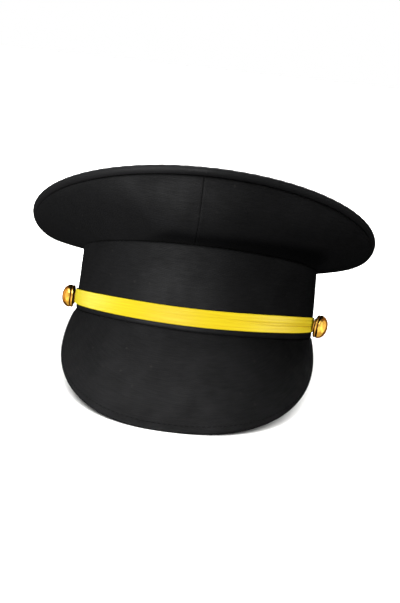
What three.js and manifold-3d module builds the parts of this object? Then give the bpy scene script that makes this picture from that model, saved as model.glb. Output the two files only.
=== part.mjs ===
// A peaked uniform cap of black wool cloth, standing on a surface as it does when it is put down.
//
// The cap is worked out in its own frame: +X to the wearer's left, -Y to the front and +Z up,
// with the band's lower edge in the plane z = 0 and the middle of the head at the origin. One
// group then tilts it back onto its two rests, the tip of the peak and the back of the band.
// All sizes are in millimetres, and left and right are the wearer's.

import * as THREE from 'three';
import { mergeVertices } from 'three/addons/utils/BufferGeometryUtils.js';
import Module from 'manifold-3d';

const radians = THREE.MathUtils.degToRad;
const lerp = THREE.MathUtils.lerp;

// Pieces that touch are sewn together on the real cap. Here each keeps this much air.
const gap = 0.3;

// The band is an upright oval wall that draws in a little as it rises. Its upper edge climbs to
// the front and levels off behind, and its lower edge is pulled up on the right side.
const band = {
  halfWidth: 84.5,
  halfLength: 106,
  wall: 3,
  drawIn: 0.026,
  sideHeight: 45.3,
  sideRise: 0,
  frontRise: 0.072,
  rearLevelling: 0.00038,
  rightPull: 2.6,
  columns: 72,
};

// The rim seam is the wider oval where the four quarters meet the top. It follows the same law
// of height, and the whole crown sits on the band turned by a small angle.
const rim = {
  halfWidth: 118.6,
  halfLength: 136.1,
  sideHeight: 58.4,
  sideRise: 0.008,
  frontRise: 0.244,
  rearLevelling: 0.0015,
  turn: radians(1.6),
};

// Each quarter swells out from under the crown: a fullness of 1 is a quarter of an ellipse in
// section, and 0 is a straight slope from the band to the rim.
const quarter = { cloth: 2, rows: 8, columns: 18 };
const fullness = { front: 0.9, left: 0.1, rear: 0.6, right: 0.4 };

// The seams between the quarters, as angles round the cap from the middle of the front.
const seams = { front: -2, left: 90, rear: 180, right: -90 };

// The top panel hangs a little between its wired rim, which is a round roll of cloth.
const top = { cloth: 2, roll: 5, height: 4, sag: 4, columns: 72 };
const topShares = [0.3, 0.55, 0.75, 0.88, 0.96];
const rollAngles = [150, 120, 90, 60, 30, 0, -30, -60, -90, -120, -150, -168];

// The peak falls from the band's lower edge to a free edge with this half width, reach and drop.
const peak = {
  board: 2.6,
  halfWidth: 85.7,
  sideShift: -0.7,
  sideRise: 0.014,
  reach: 148,
  drop: 54.8,
  widthPower: 0.895,
  reachPower: 0.666,
  straightness: 0.966,
  bow: 1.5,
  tuck: 0.4,
  rootAngle: radians(88),
  edgeAngle: radians(89.5),
  rows: 6,
  columns: 44,
};

// The chin strap lies on the front of the band, from one side to the other. Its edges are given
// as heights at five angles round the band.
const strap = { ribbon: 1.2, columns: 48 };
const strapSections = [
  { degrees: -90, lower: 7.0, upper: 16.3 },
  { degrees: -46, lower: 5.1, upper: 15.8 },
  { degrees: 0, lower: 3.2, upper: 14.2 },
  { degrees: 46, lower: 4.1, upper: 15.0 },
  { degrees: 79, lower: 4.7, upper: 14.3 },
];

// The two side buttons are gilt domes whose slightly rounded backs stand on the ends of the
// strap. Each has its own height above the band's lower edge and leans up or down a little.
const sideButtons = [
  { name: 'side_button_left', degrees: 75, height: 9.2, lean: -8 },
  { name: 'side_button_right', degrees: -85, height: 10.0, lean: 2 },
];
const buttonSegments = 24;
const buttonProfile = [
  { radius: 0, rise: 0 },
  { radius: 3.6, rise: 0 },
  { radius: 7.2, rise: 0.9 },
  { radius: 7.9, rise: 1.7 },
  { radius: 8.1, rise: 2.8 },
  { radius: 7.95, rise: 4.2 },
  { radius: 7.3, rise: 5.8 },
  { radius: 6.1, rise: 7.2 },
  { radius: 4.4, rise: 8.25 },
  { radius: 2.3, rise: 8.85 },
  { radius: 0, rise: 9 },
];

// How far the cloth is pressed flat where the cap stands.
const settle = 0.8;

const finishes = {
  wool: { color: 0x1d1d1e, roughness: 0.95, metalness: 0 },
  ribbon: { color: 0xe8cf2c, roughness: 0.45, metalness: 0.1 },
  gilt: { color: 0xc98a1e, roughness: 0.25, metalness: 1 },
};

// Height of a sewn edge at a place: it climbs to the front, levels off behind and may slope
// from side to side.
function edgeHeight(edge, { x, y }) {
  const levelling = y > 0 ? edge.rearLevelling * y * y : 0;
  return edge.sideHeight + edge.sideRise * x - edge.frontRise * y + levelling;
}

// Point on an oval at an angle from the front, moved outwards along the oval's own normal.
function ovalPoint(oval, angle, outward, share = 1) {
  const across = oval.halfWidth * Math.sin(angle);
  const along = -oval.halfLength * Math.cos(angle);
  const normal = new THREE.Vector2(
    oval.halfLength * Math.sin(angle),
    -oval.halfWidth * Math.cos(angle),
  ).normalize();
  return new THREE.Vector3(
    across * share + normal.x * outward,
    along * share + normal.y * outward,
    0,
  );
}

// Point on the band's wall or beside it, at a height in the cap's frame.
function bandPoint(angle, outward, height) {
  return ovalPoint(band, angle, outward - band.drawIn * height).setZ(height);
}

function bandTop(angle) {
  return edgeHeight(band, ovalPoint(band, angle, 0));
}

function bandBottom(angle) {
  return band.rightPull * Math.max(-Math.sin(angle), 0);
}

// Point near the rim: share runs from the middle of the crown to the seam.
function rimPoint(angle, outward, rise, share = 1) {
  const point = ovalPoint(rim, angle, outward, share);
  point.applyAxisAngle(new THREE.Vector3(0, 0, 1), rim.turn);
  return point.setZ(edgeHeight(rim, point) + rise);
}

// Builds one closed mesh from vertices and triangles.
function geometryFrom(points, triangles) {
  const geometry = new THREE.BufferGeometry();
  geometry.setFromPoints(points);
  geometry.setIndex(triangles);
  return geometry;
}

// A wall of cloth between two grids of points. face(i, j) is the side that shows and back(i, j)
// the hidden side. Rows run across the cloth, and columns run round the cap.
function clothWall({ rows, columns, closed = false, face, back }) {
  const rings = closed ? columns : columns + 1;
  const points = [];
  const triangles = [];
  for (const side of [face, back]) {
    for (let j = 0; j < rings; j += 1) {
      for (let i = 0; i <= rows; i += 1) {
        points.push(side(i, j));
      }
    }
  }
  const onFace = (i, j) => (j % rings) * (rows + 1) + i;
  const onBack = (i, j) => rings * (rows + 1) + onFace(i, j);
  const quad = (a, b, c, d) => triangles.push(a, b, c, a, c, d);
  for (let j = 0; j < columns; j += 1) {
    for (let i = 0; i < rows; i += 1) {
      quad(onFace(i, j), onFace(i, j + 1), onFace(i + 1, j + 1), onFace(i + 1, j));
      quad(onBack(i, j), onBack(i + 1, j), onBack(i + 1, j + 1), onBack(i, j + 1));
    }
    quad(onFace(0, j), onBack(0, j), onBack(0, j + 1), onFace(0, j + 1));
    quad(onFace(rows, j), onFace(rows, j + 1), onBack(rows, j + 1), onBack(rows, j));
  }
  if (!closed) {
    for (let i = 0; i < rows; i += 1) {
      quad(onFace(i, 0), onFace(i + 1, 0), onBack(i + 1, 0), onBack(i, 0));
      quad(onFace(i, columns), onBack(i, columns), onBack(i + 1, columns), onFace(i + 1, columns));
    }
  }
  return geometryFrom(points, triangles);
}

// The hidden side of a sheet of one thickness: each point of the face moved along the sheet's
// normal, which comes from its neighbours on the face.
function backOf(face, rows, columns, thickness) {
  return (i, j) => {
    const across = face(Math.min(i + 1, rows), j).sub(face(Math.max(i - 1, 0), j));
    const round = face(i, Math.min(j + 1, columns)).sub(face(i, Math.max(j - 1, 0)));
    const inward = across.cross(round).normalize();
    return face(i, j).addScaledVector(inward, thickness);
  };
}

// A solid of revolution bent onto the oval: its outline starts and ends in the middle.
function turnedPanel(outline, columns, place) {
  const points = [place(outline[0], 0), place(outline.at(-1), 0)];
  const rings = outline.slice(1, -1);
  const triangles = [];
  for (let j = 0; j < columns; j += 1) {
    const angle = (j / columns) * 2 * Math.PI;
    points.push(...rings.map((row) => place(row, angle)));
  }
  const at = (i, j) => 2 + (j % columns) * rings.length + i;
  for (let j = 0; j < columns; j += 1) {
    triangles.push(0, at(0, j), at(0, j + 1));
    triangles.push(1, at(rings.length - 1, j + 1), at(rings.length - 1, j));
    for (let i = 0; i + 1 < rings.length; i += 1) {
      triangles.push(at(i, j), at(i + 1, j), at(i + 1, j + 1));
      triangles.push(at(i, j), at(i + 1, j + 1), at(i, j + 1));
    }
  }
  return geometryFrom(points, triangles);
}

function makeBand() {
  const { columns, wall } = band;
  const angleOf = (j) => (j / columns) * 2 * Math.PI;
  const wallPoint = (outward) => (i, j) => {
    const angle = angleOf(j);
    return bandPoint(angle, outward, i === 0 ? bandBottom(angle) : bandTop(angle));
  };
  return clothWall({ rows: 1, columns, closed: true, face: wallPoint(0), back: wallPoint(-wall) });
}

// The swell of the quarters at an angle, shared out between the front or rear and the side.
function fullnessAt(angle) {
  const lengthwise = Math.cos(angle) > 0 ? fullness.front : fullness.rear;
  const sideways = Math.sin(angle) > 0 ? fullness.left : fullness.right;
  return lerp(lengthwise, sideways, Math.sin(angle) ** 2);
}

// Point at a row of the swell from a root on the band out to an edge at the rim.
function swellPoint(root, edge, row, angle) {
  const turn = ((row - 1) / (quarter.rows - 1)) * (Math.PI / 2);
  const out = Math.sin(turn);
  const up = lerp(out, 1 - Math.cos(turn), fullnessAt(angle));
  return new THREE.Vector3(lerp(root.x, edge.x, out), lerp(root.y, edge.y, out), lerp(root.z, edge.z, up));
}

// A quarter runs from the top of the band's wall out to the rim seam. Its first row lies on the
// band, and the rest follow the swell.
function quarterPoint(row, angle) {
  if (row === 0) {
    return bandPoint(angle, -band.wall, bandTop(angle) + gap);
  }
  const root = bandPoint(angle, 0, bandTop(angle) + gap);
  return swellPoint(root, rimPoint(angle, 0, 0), row, angle);
}

// The hidden side of a quarter has the same swell, and ends a cloth's thickness inside the rim.
function makeQuarter(fromDegrees, toDegrees) {
  const { rows, columns, cloth } = quarter;
  const seamAngle = gap / 2 / rim.halfWidth;
  const from = radians(fromDegrees) + seamAngle;
  const to = radians(toDegrees) - seamAngle;
  const angleOf = (j) => lerp(from, to, j / columns);
  const face = (i, j) => quarterPoint(i, angleOf(j));
  const hidden = backOf(face, rows, columns, cloth);
  const back = (i, j) => {
    const seam = rimPoint(angleOf(j), -cloth, 0);
    return i < 2 ? hidden(i, j) : swellPoint(hidden(1, j), seam, i, angleOf(j));
  };
  return clothWall({ rows, columns, face, back });
}

// The top panel and its roll are one cloth: the outline goes out over the panel, round the roll
// and back under the panel.
function topOutline() {
  const radius = top.roll / 2;
  const panel = (share, height) => ({ share, outward: 0, rise: height - top.sag * (1 - share * share) });
  const above = [0, ...topShares].map((share) => panel(share, top.height));
  const below = [0, ...topShares].map((share) => panel(share, top.height - top.cloth)).reverse();
  const roll = rollAngles.map((degrees) => ({
    share: 1,
    outward: radius * Math.cos(radians(degrees)),
    rise: gap + radius + radius * Math.sin(radians(degrees)),
  }));
  return [...above, ...roll, ...below];
}

function makeTop() {
  const place = (row, angle) => rimPoint(angle, row.outward, row.rise, row.share);
  return turnedPanel(topOutline(), top.columns, place);
}

// The root of the peak, just under the band's lower edge.
class PeakRoot extends THREE.Curve {
  getPoint(along) {
    const angle = lerp(-peak.rootAngle, peak.rootAngle, along);
    return bandPoint(angle, -peak.tuck, bandBottom(angle) - gap);
  }
}

// The free edge of the peak: round in front, running back along the sides of the head.
class PeakEdge extends THREE.Curve {
  getPoint(along) {
    const angle = lerp(-peak.edgeAngle, peak.edgeAngle, along);
    const across = Math.sign(angle) * Math.abs(Math.sin(angle)) ** peak.widthPower;
    const forward = Math.cos(angle) ** peak.reachPower;
    const fall = lerp(forward * forward, forward, peak.straightness);
    const pull = bandBottom(angle) * (1 - forward);
    return new THREE.Vector3(
      peak.halfWidth * across + peak.sideShift,
      -peak.reach * forward,
      pull + peak.sideRise * peak.halfWidth * across - peak.drop * fall,
    );
  }
}

function peakFace() {
  const roots = new PeakRoot().getSpacedPoints(peak.columns);
  const edges = new PeakEdge().getSpacedPoints(peak.columns);
  return (i, j) => {
    const share = i / peak.rows;
    const crest = Math.sin(Math.PI * share) * Math.sin((Math.PI * j) / peak.columns);
    const point = new THREE.Vector3().lerpVectors(edges[j], roots[j], share);
    return point.setZ(point.z + peak.bow * crest);
  };
}

function makePeak() {
  const { rows, columns, board } = peak;
  const face = peakFace();
  const hidden = backOf(face, rows, columns, board);
  const back = (i, j) => {
    const point = hidden(i, j);
    return point.setZ(Math.min(point.z, face(rows, j).z));
  };
  return clothWall({ rows, columns, face, back });
}

// A smooth line through the strap's sections: X holds the angle and Y the height of the edge.
function strapEdge(name) {
  const marks = strapSections.map((section) => new THREE.Vector2(section.degrees, section[name]));
  return new THREE.SplineCurve(marks);
}

function makeStrap() {
  const { columns, ribbon } = strap;
  const edges = [strapEdge('lower'), strapEdge('upper')];
  const ribbonPoint = (outward) => (i, j) => {
    const mark = edges[i].getPoint(j / columns);
    return bandPoint(radians(mark.x), outward, mark.y);
  };
  return clothWall({ rows: 1, columns, face: ribbonPoint(gap + ribbon), back: ribbonPoint(gap) });
}

function makeButton() {
  const outline = buttonProfile.map(({ radius, rise }) => new THREE.Vector2(radius, rise));
  return new THREE.LatheGeometry(outline, buttonSegments);
}

function mesh(name, geometry, finish) {
  const piece = new THREE.Mesh(geometry, new THREE.MeshStandardMaterial(finish));
  piece.name = name;
  return piece;
}

// A button stands on the strap, its axis pointing away from the head. One that leans is lifted
// until its back clears the strap.
function placeButton({ name, degrees, height, lean }) {
  const piece = mesh(name, makeButton(), finishes.gilt);
  const angle = radians(degrees);
  const foot = bandPoint(angle, gap + strap.ribbon + gap, height);
  const axis = bandPoint(angle, 1, height).sub(bandPoint(angle, 0, height));
  axis.setZ(Math.tan(radians(lean))).normalize();
  const backRadius = buttonProfile[1].radius;
  const lift = backRadius * Math.abs(Math.sin(radians(lean)));
  piece.quaternion.setFromUnitVectors(new THREE.Vector3(0, 1, 0), axis);
  piece.position.copy(foot).addScaledVector(axis, lift);
  return piece;
}

const wasm = await Module();
wasm.setup();

// Turns a closed mesh into a solid that can be cut.
function solidOf(geometry) {
  const bare = geometry.clone();
  bare.deleteAttribute('normal');
  bare.deleteAttribute('uv');
  const merged = mergeVertices(bare);
  return new wasm.Manifold(new wasm.Mesh({
    numProp: 3,
    vertProperties: new Float32Array(merged.attributes.position.array),
    triVerts: new Uint32Array(merged.index.array),
  }));
}

// Presses a piece flat where it would go below the floor, a plane given in the cap's frame.
function pressFlat(piece, capToWorld) {
  const depth = 40;
  const floor = new THREE.BoxGeometry(600, 600, depth);
  floor.translate(0, 0, -depth / 2);
  floor.applyMatrix4(capToWorld.clone().invert());
  const pressed = solidOf(piece.geometry).subtract(solidOf(floor)).getMesh();
  const geometry = new THREE.BufferGeometry();
  geometry.setAttribute('position', new THREE.BufferAttribute(pressed.vertProperties, 3));
  geometry.setIndex(new THREE.BufferAttribute(pressed.triVerts, 1));
  piece.geometry = geometry;
}

const cap = new THREE.Group();
const bandPiece = mesh('band', makeBand(), finishes.wool);
const peakPiece = mesh('peak', makePeak(), finishes.wool);
cap.add(bandPiece, peakPiece);
cap.add(mesh('crown_quarter_front_left', makeQuarter(seams.front, seams.left), finishes.wool));
cap.add(mesh('crown_quarter_rear_left', makeQuarter(seams.left, seams.rear), finishes.wool));
cap.add(mesh('crown_quarter_rear_right', makeQuarter(-seams.rear, seams.right), finishes.wool));
cap.add(mesh('crown_quarter_front_right', makeQuarter(seams.right, seams.front), finishes.wool));
cap.add(mesh('crown_top', makeTop(), finishes.wool));
cap.add(mesh('chin_strap', makeStrap(), finishes.ribbon));
cap.add(...sideButtons.map(placeButton));

// The cap leans back on the lowest line of the peak and the back of the band, and stands with
// the middle of its box over the origin.
const tip = backOf(peakFace(), peak.rows, peak.columns, peak.board)(0, peak.columns / 2);
const restTilt = Math.atan2(-tip.z, band.halfLength - tip.y);
cap.rotation.x = -restTilt;
cap.position.z = band.halfLength * Math.sin(restTilt) - settle;
const centre = new THREE.Box3().setFromObject(cap, true).getCenter(new THREE.Vector3());
cap.position.x = -centre.x;
cap.position.y = -centre.y;
cap.updateMatrixWorld(true);
pressFlat(bandPiece, cap.matrixWorld);
pressFlat(peakPiece, cap.matrixWorld);

export default cap;
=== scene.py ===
"""Dresses a peaked uniform cap: milled black wool over a stiff band, a boarded peak and a wired
rim, with a gold ribbon for its chin strap and two gilt side buttons.

Shapes are worked out in millimetres in the cap's own frame, with +X to the wearer's left, -Y to
the front and +Z up from the band's lower edge, and are placed in metres where the frame stands.
"""

import logging
import math
from dataclasses import dataclass
from enum import Enum
from typing import Any, Iterable, Optional

import bmesh
import bpy
import numpy as np
from mathutils import Matrix, Vector

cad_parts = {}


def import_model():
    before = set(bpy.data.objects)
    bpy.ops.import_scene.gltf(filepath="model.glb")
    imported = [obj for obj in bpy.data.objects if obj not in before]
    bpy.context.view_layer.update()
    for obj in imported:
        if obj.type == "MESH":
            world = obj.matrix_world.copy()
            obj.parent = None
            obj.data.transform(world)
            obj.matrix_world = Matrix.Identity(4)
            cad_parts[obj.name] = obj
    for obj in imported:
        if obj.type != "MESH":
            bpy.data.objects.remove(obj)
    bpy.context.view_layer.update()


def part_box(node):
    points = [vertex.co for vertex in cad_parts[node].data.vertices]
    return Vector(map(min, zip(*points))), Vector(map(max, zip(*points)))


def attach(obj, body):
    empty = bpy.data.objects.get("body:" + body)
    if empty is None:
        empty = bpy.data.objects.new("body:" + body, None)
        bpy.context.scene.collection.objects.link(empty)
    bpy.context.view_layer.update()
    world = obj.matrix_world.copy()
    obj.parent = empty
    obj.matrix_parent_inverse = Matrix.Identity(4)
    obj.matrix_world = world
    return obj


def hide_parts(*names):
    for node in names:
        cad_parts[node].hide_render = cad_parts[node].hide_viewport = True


MM = 0.001
BODY = "root"
CLOTH_MAP = "cloth"
# Where the crown's front seam runs, in degrees from the middle of the front.
FRONT_SEAM = -2.0
# Length of one wave of the wave texture at a scale of 1.
WAVE_LENGTH = 2.0 * math.pi / 20.0
log = logging.getLogger("cap")


def lerp(start: Any, end: Any, share: Any) -> Any:
    """Returns the value at a share of the way from start to end."""
    return start + (end - start) * share


def bell(distance: np.ndarray, width: float) -> np.ndarray:
    """Returns a smooth bump that is 1 at distance 0 and fades out over about two widths."""
    return np.exp(-((distance / width) ** 2))


def smooth(value: np.ndarray) -> np.ndarray:
    """Returns 0 below 0, 1 above 1 and a smooth rise between them."""
    held = np.clip(value, 0.0, 1.0)
    return held * held * (3.0 - 2.0 * held)


def folded_shares(length: float, radius: float, steps: int, inner: int) -> np.ndarray:
    """Spaces the rows of a cloth: close together round its two folded edges, even between them.

    Args:
        length: Width of the cloth from edge to edge.
        radius: How far in from each edge the cloth turns over.
        steps: Rows on each turned edge.
        inner: Rows between the two turned edges.

    Returns:
        Shares of the width, from 0 to 1.
    """
    turn = radius / length * (1.0 - np.cos(np.linspace(0.0, math.pi / 2, steps + 1)))
    middle = np.linspace(turn[-1], 1.0 - turn[-1], inner + 1)
    return np.concatenate([turn[:-1], middle, (1.0 - turn)[::-1][1:]])


def fold_profile(shares: np.ndarray, length: float, radius: float) -> np.ndarray:
    """Returns the share of the full thickness that a cloth with round edges has at each row."""
    inside = np.minimum(shares, 1.0 - shares) * length / radius
    return np.sqrt(np.clip(1.0 - (1.0 - np.clip(inside, 0.0, 1.0)) ** 2, 0.0, 1.0))


def spread(curve: np.ndarray, shares: np.ndarray) -> np.ndarray:
    """Finds points on a curve at shares of its length.

    Args:
        curve: Closely spaced points along the curve.
        shares: Shares of the length, from 0 to 1.

    Returns:
        One point for each share.
    """
    steps = np.linalg.norm(np.diff(curve, axis=0), axis=1)
    along = np.concatenate([[0.0], np.cumsum(steps)]) / steps.sum()
    return np.stack([np.interp(shares, along, curve[:, k]) for k in range(curve.shape[1])], axis=-1)


def bend(ends: tuple[Any, Any], slopes: tuple[Any, Any], share: Any) -> Any:
    """Runs a smooth curve from one point to the next.

    Args:
        ends: The two points.
        slopes: The curve's slope at each of them.
        share: Share of the way, from 0 to 1.

    Returns:
        The points at those shares.
    """
    (start, end), (leave, arrive) = ends, slopes
    curve = (2 * start - 2 * end + leave + arrive) * share ** 3
    return curve + (3 * end - 3 * start - 2 * leave - arrive) * share ** 2 + leave * share + start


@dataclass(frozen=True)
class SewnEdge:
    """An oval seam seen from above, and the law of its height.

    Attributes:
        half_width: Half the width from side to side.
        half_length: Half the length from front to back.
        side_height: Height above the band's lower edge, at the sides.
        side_rise: How much it climbs for each millimetre to the wearer's left.
        front_rise: How much it climbs for each millimetre to the front.
        rear_levelling: How it levels off again behind the middle.
        turn: Turn of the whole oval on the head, in degrees.
    """

    half_width: float
    half_length: float
    side_height: float
    side_rise: float = 0.0
    front_rise: float = 0.0
    rear_levelling: float = 0.0
    turn: float = 0.0

    def plan(self, angle: Any, outward: Any = 0.0, share: Any = 1.0) -> np.ndarray:
        """Places points on the oval seen from above.

        Args:
            angle: Angle round the cap from the middle of the front, in radians.
            outward: Distance outwards along the oval's own normal.
            share: Share of the way from the middle to the oval.

        Returns:
            Plan positions, with x and y on the last axis.
        """
        angle, outward, share = np.broadcast_arrays(angle, outward, share)
        across = self.half_width * np.sin(angle)
        along = -self.half_length * np.cos(angle)
        normal_x = self.half_length * np.sin(angle)
        normal_y = -self.half_width * np.cos(angle)
        size = np.hypot(normal_x, normal_y)
        x = across * share + normal_x / size * outward
        y = along * share + normal_y / size * outward
        cosine, sine = math.cos(math.radians(self.turn)), math.sin(math.radians(self.turn))
        return np.stack([x * cosine - y * sine, x * sine + y * cosine], axis=-1)

    def height(self, plan: np.ndarray) -> np.ndarray:
        """Finds the height of the seam.

        Args:
            plan: Plan positions, with x and y on the last axis.

        Returns:
            The height at each of them.
        """
        x, y = plan[..., 0], plan[..., 1]
        levelling = self.rear_levelling * np.maximum(y, 0.0) ** 2
        return self.side_height + self.side_rise * x - self.front_rise * y + levelling


@dataclass(frozen=True)
class CapForm:
    """The block that the cap is made over: where its band, its rim and its seams run.

    Attributes:
        band: Upper edge of the band.
        rim: Seam between the quarters and the top.
        wall: Thickness of the band.
        draw_in: How far the band draws in for each millimetre that it rises.
        right_pull: How far the band's lower edge is pulled up on the wearer's right.
        gap: Air between pieces that are sewn together.
    """

    band: SewnEdge = SewnEdge(84.5, 106.0, 45.3, 0.0, 0.072, 0.00038)
    rim: SewnEdge = SewnEdge(118.6, 136.1, 58.4, 0.008, 0.244, 0.0015, 1.6)
    wall: float = 3.0
    draw_in: float = 0.026
    right_pull: float = 2.6
    gap: float = 0.3

    def band_point(self, angle: Any, outward: Any, height: Any) -> np.ndarray:
        """Places points on the band's wall, or beside it.

        Args:
            angle: Angles from the middle of the front, in radians.
            outward: Distances outwards from the wall.
            height: Heights in the cap's frame.

        Returns:
            Points, with their coordinates on the last axis.
        """
        angle, outward, height = np.broadcast_arrays(angle, outward, height)
        plan = self.band.plan(angle, outward - self.draw_in * height)
        return np.concatenate([plan, height[..., None]], axis=-1)

    def band_top(self, angle: Any) -> np.ndarray:
        """Returns the height of the band's upper edge at angles round the cap."""
        return self.band.height(self.band.plan(angle))

    def band_bottom(self, angle: Any) -> np.ndarray:
        """Returns the height of the band's lower edge at angles round the cap."""
        return self.right_pull * np.maximum(-np.sin(angle), 0.0)

    def rim_point(self, angle: Any, outward: Any, rise: Any, share: Any = 1.0) -> np.ndarray:
        """Places points near the seam of the rim.

        Args:
            angle: Angles from the middle of the front, in radians.
            outward: Distances outwards from the seam.
            rise: Heights above the seam.
            share: Shares of the way from the middle to the seam.

        Returns:
            Points, with their coordinates on the last axis.
        """
        plan = self.rim.plan(angle, outward, share)
        height = self.rim.height(plan) + rise
        return np.concatenate([plan, height[..., None]], axis=-1)


@dataclass(frozen=True)
class PeakForm:
    """The board of the peak, from its root under the band to its free edge.

    Attributes:
        form: The block that the peak is set on.
        board: Thickness of the covered board.
        half_width: Half the width across the free edge.
        side_shift: Shift of the free edge to the wearer's left.
        side_rise: How much the free edge climbs for each millimetre to the wearer's left.
        reach: How far forward the free edge is from the middle of the head.
        drop: How far it is below the band's lower edge, in front.
        width_power: Squareness of the free edge from side to side.
        reach_power: Squareness of the free edge from the sides to the front.
        straightness: How straight the free edge runs down from the sides to the front.
        bow: How far the board bows up between its root and its edge.
        tuck: How far the root is tucked in under the band.
        root_angle: Where the root ends on both sides, in degrees from the front.
        edge_angle: Where the free edge ends, in the same way.
    """

    form: CapForm
    board: float = 2.6
    half_width: float = 85.7
    side_shift: float = -0.7
    side_rise: float = 0.014
    reach: float = 148.0
    drop: float = 54.8
    width_power: float = 0.895
    reach_power: float = 0.666
    straightness: float = 0.966
    bow: float = 1.5
    tuck: float = 0.4
    root_angle: float = 88.0
    edge_angle: float = 89.5

    def root(self, angle: np.ndarray) -> np.ndarray:
        """Returns points on the root at angles from the front."""
        return self.form.band_point(angle, -self.tuck, self.form.band_bottom(angle) - self.form.gap)

    def edge(self, angle: np.ndarray) -> np.ndarray:
        """Places points on the free edge.

        Args:
            angle: Angles from the middle of the front, in radians.

        Returns:
            One point for each angle.
        """
        across = np.sign(angle) * np.abs(np.sin(angle)) ** self.width_power
        forward = np.clip(np.cos(angle), 0.0, 1.0) ** self.reach_power
        fall = lerp(forward * forward, forward, self.straightness)
        pull = self.form.band_bottom(angle) * (1.0 - forward)
        x = self.half_width * across + self.side_shift
        y = -self.reach * forward
        z = pull + self.side_rise * self.half_width * across - self.drop * fall
        return np.stack([x, y, z], axis=-1)

    def face(self, shares: np.ndarray, round_shares: np.ndarray, under: Any = 0.0) -> np.ndarray:
        """Returns the upper side of the board as a grid.

        Args:
            shares: Rows, from the free edge at 0 to the root at 1.
            round_shares: Columns, from the wearer's right end at 0 to the left end at 1.
            under: How far each row lies inside the root, where the board runs on under the band.

        Returns:
            Points as rows, columns and coordinates.
        """
        fine = 2001
        ends = math.radians(self.root_angle), math.radians(self.edge_angle)
        root, edge = (np.linspace(-end, end, fine) for end in ends)
        roots = spread(self.root(root), round_shares)[None]
        edges = spread(self.edge(edge), round_shares)[None]
        share = shares[:, None, None]
        grid = lerp(edges, roots, share)
        crest = np.sin(math.pi * shares)[:, None] * np.sin(math.pi * round_shares)[None]
        grid[..., 2] += self.bow * crest
        along = np.gradient(roots[0], axis=0)
        inward = np.stack([-along[:, 1], along[:, 0], 0.0 * along[:, 0]], axis=-1)
        inward /= np.linalg.norm(inward, axis=-1, keepdims=True)
        inset = np.broadcast_to(under, shares.shape)[:, None, None]
        climb = 0.9 * self.form.gap * np.minimum(inset, 1.0) * np.array([0.0, 0.0, 1.0])
        return grid + inset * inward + climb

    def lowest_corner(self) -> np.ndarray:
        """Finds the lower corner of the free edge in the middle, on which the cap stands.

        Returns:
            The corner's place in the cap's frame.
        """
        step_in, step_round = 1.0 / 6.0, 1.0 / 44.0
        grid = self.face(np.array([0.0, step_in]), np.array([0.5 - step_round, 0.5, 0.5 + step_round]))
        inward = np.cross(grid[1, 1] - grid[0, 1], grid[0, 2] - grid[0, 0])
        return grid[0, 1] + inward / np.linalg.norm(inward) * self.board


@dataclass(frozen=True)
class Stance:
    """How the cap stands: tilted back onto the tip of its peak and the back of its band.

    Attributes:
        tilt: Angle by which the cap leans back, in radians.
        offset: Place of the cap's own origin, in millimetres.
    """

    tilt: float
    offset: tuple[float, float, float]

    @classmethod
    def of(cls, form: CapForm, peak: PeakForm, settle: float = 0.8) -> "Stance":
        """Works out the stance from the peak's tip, and takes its place from the frame's band.

        Args:
            form: The block of the cap.
            peak: The board of the peak.
            settle: How far the cloth is pressed flat where the cap stands.

        Returns:
            The stance.
        """
        tip = peak.lowest_corner()
        back = form.band.half_length
        tilt = math.atan2(-tip[2], back - tip[1])
        angles = np.linspace(0.0, 2.0 * math.pi, 73)
        feet = form.band_point(angles, 0.0, form.band_bottom(angles))
        tops = form.band_point(angles, 0.0, form.band_top(angles))
        tilted = cls(tilt, (0.0, 0.0, 0.0)).place(np.concatenate([feet, tops]))
        corner = np.array(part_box("band")[0])
        x, y = (corner - tilted.min(axis=0))[:2] / MM
        return cls(tilt, (float(x), float(y), back * math.sin(tilt) - settle))

    def matrix(self) -> Matrix:
        """Returns the turn and the shift from the cap's frame in millimetres to metres."""
        turn = Matrix.Rotation(-self.tilt, 4, "X")
        return Matrix.Translation(Vector(self.offset) * MM) @ turn @ Matrix.Scale(MM, 4)

    def place(self, points: np.ndarray) -> np.ndarray:
        """Returns points in metres where the cap stands."""
        matrix = np.array(self.matrix())
        return points @ matrix[:3, :3].T + matrix[:3, 3]


def add_object(name: str, data: Any) -> bpy.types.Object:
    """Adds an object to the scene.

    Args:
        name: Name of the object.
        data: Its mesh, light or camera.

    Returns:
        The object.
    """
    added = bpy.data.objects.new(name, data)
    bpy.context.scene.collection.objects.link(added)
    return added


def add_node(
    tree: bpy.types.NodeTree, kind: str, inputs: Optional[dict] = None, **settings: Any
) -> bpy.types.Node:
    """Adds one node with its settings, its constant inputs and its links.

    Args:
        tree: The node tree.
        kind: Blender's name for the node.
        inputs: For each input's name or number, a constant, or an output to link from.
        **settings: Properties of the node itself.

    Returns:
        The node.
    """
    node = tree.nodes.new(kind)
    for name, value in settings.items():
        setattr(node, name, value)
    for name, value in (inputs or {}).items():
        if isinstance(value, bpy.types.NodeSocket):
            tree.links.new(value, node.inputs[name])
        else:
            node.inputs[name].default_value = value
    return node


def linear(hex_colour: str) -> tuple[float, float, float, float]:
    """Turns an sRGB hex colour to linear values.

    Args:
        hex_colour: The colour, such as #1a2b3c.

    Returns:
        Red, green, blue and full alpha.
    """
    channels = [int(hex_colour[k:k + 2], 16) / 255 for k in (1, 3, 5)]
    light = [c / 12.92 if c <= 0.04045 else ((c + 0.055) / 1.055) ** 2.4 for c in channels]
    return (*light, 1.0)


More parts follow.
